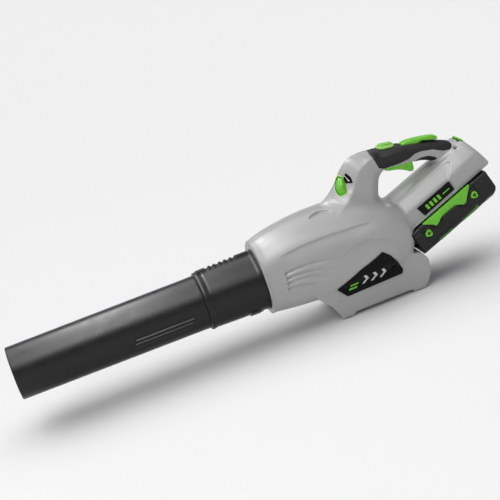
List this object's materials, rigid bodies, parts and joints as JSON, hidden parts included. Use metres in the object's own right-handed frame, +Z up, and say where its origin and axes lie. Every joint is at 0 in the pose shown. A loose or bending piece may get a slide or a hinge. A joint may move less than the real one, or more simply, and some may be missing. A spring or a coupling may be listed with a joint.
{
  "type": "hand-held leaf blower",
  "caption": "Cordless hand-held leaf blower with a long outlet tube, in-line axial fan, loop handle with trigger and dial, and a slide-on battery under the rear rail.",
  "frame": {"origin": "centre of the bounding box's footprint, on the plane that the four foot pads rest on", "axes": "+Z up; X along the air path's axis with the nozzle towards -X and the battery towards +X; Y across the machine, symmetric about Y = 0"},
  "size_m": [0.8539, 0.1514, 0.247],
  "materials": {
    "shell_grey": "satin moulded ABS",
    "black_plastic": "fine-grained black moulding",
    "tube_charcoal": "satin charcoal moulding",
    "grip_rubber": "soft overmould",
    "accent_green": "semi-gloss moulding",
    "badge_black": "glossy inlay",
    "steel": "turned and plated",
    "copper": "enamelled winding wire",
    "circuit_board": "coated glass-fibre board",
    "cell_sleeve": "shrink sleeve",
    "duct_plastic": "glass-filled moulding"
  },
  "bodies": {
    "housing": {"housing_left": "shell_grey", "housing_right": "shell_grey", "rear_grille": "black_plastic", "floor_grille": "black_plastic", "speed_sensor": "black_plastic", "power_switch": "black_plastic", "spring_seat": "black_plastic", "terminal_block": "black_plastic", "grip_skin": "grip_rubber", "foot_pad_front_left": "grip_rubber", "foot_pad_front_right": "grip_rubber", "foot_pad_rear_left": "grip_rubber", "foot_pad_rear_right": "grip_rubber", "boost_bezel": "accent_green", "badge_left": "badge_black", "badge_right": "badge_black", "dock_label_left": "badge_black", "dock_label_right": "badge_black", "housing_screw_1": "steel", "housing_screw_2": "steel", "housing_screw_3": "steel", "housing_screw_4": "steel", "housing_screw_5": "steel", "housing_screw_6": "steel", "motor_can": "steel", "motor_stator": "steel", "front_bearing": "steel", "rear_bearing": "steel", "trigger_pin": "steel", "lever_pin": "steel", "dial_pin": "steel", "trigger_spring": "steel", "release_spring": "steel", "motor_windings": "copper", "power_lead_positive": "copper", "power_lead_negative": "copper", "controller_board": "circuit_board", "duct": "duct_plastic", "motor_mount": "duct_plastic", "tail_cone": "duct_plastic", "motor_end_cap": "duct_plastic"},
    "fan_rotor": {"motor_shaft": "steel", "fan": "black_plastic", "fan_spinner": "black_plastic"},
    "tube": {"outlet_tube": "tube_charcoal"},
    "tube_lock": {"tube_lock": "tube_charcoal"},
    "trigger": {"trigger": "accent_green"},
    "cruise_lever": {"cruise_lever": "accent_green"},
    "boost_button": {"boost_button": "accent_green"},
    "speed_dial": {"speed_dial": "accent_green"},
    "battery_release": {"battery_release": "accent_green"},
    "battery_latch": {"battery_latch": "black_plastic"},
    "battery": {"battery_top": "black_plastic", "battery_tray": "black_plastic", "cell_pack": "cell_sleeve", "battery_board": "circuit_board", "battery_panel_left": "accent_green", "battery_panel_right": "accent_green", "battery_guard_left": "black_plastic", "battery_guard_right": "black_plastic"}
  },
  "joints": [
    {"name": "fan_spin", "type": "hinge", "parent": "housing", "child": "fan_rotor", "pos_m": [0.16, 0, 0.101], "axis": [1, 0, 0], "continuous": true},
    {"name": "trigger_pull", "type": "hinge", "parent": "housing", "child": "trigger", "pos_m": [0.26, 0, 0.213], "axis": [0, -1, 0], "range_deg": [0, 13], "stiffness_Nm_per_rad": 1.2, "deforming": ["trigger_spring"]},
    {"name": "cruise_lift", "type": "hinge", "parent": "housing", "child": "cruise_lever", "pos_m": [0.3, 0, 0.2315], "axis": [0, -1, 0], "range_deg": [0, 30]},
    {"name": "boost_press", "type": "slide", "parent": "housing", "child": "boost_button", "axis": [-0.1392, 0, -0.9903], "range_m": [0, 0.002], "stiffness_N_per_m": 900},
    {"name": "dial_turn", "type": "hinge", "parent": "housing", "child": "speed_dial", "pos_m": [0.1829, -0.0027, 0.1995], "axis": [0.6597, -0.7274, 0.1891], "range_deg": [-135, 135]},
    {"name": "release_press", "type": "slide", "parent": "housing", "child": "battery_release", "axis": [-0.8554, 0, -0.518], "range_m": [0, 0.0035], "stiffness_N_per_m": 1200, "deforming": ["release_spring"]},
    {"name": "latch_lift", "type": "slide", "parent": "housing", "child": "battery_latch", "axis": [-0.3584, 0, 0.9336], "range_m": [0, 0.002]},
    {"name": "battery_slide", "type": "slide", "parent": "housing", "child": "battery", "axis": [0.9336, 0, 0.3584], "range_m": [0, 0.17]},
    {"name": "tube_slide", "type": "slide", "parent": "housing", "child": "tube", "axis": [-1, 0, 0], "range_m": [0, 0.06]},
    {"name": "tube_lock_press", "type": "slide", "parent": "tube", "child": "tube_lock", "axis": [0, 0, 1], "range_m": [0, 0.002], "stiffness_N_per_m": 1500}
  ],
  "couplings": [
    {"joint": "latch_lift", "follows": "release_press", "ratio": 0.57143}
  ]
}
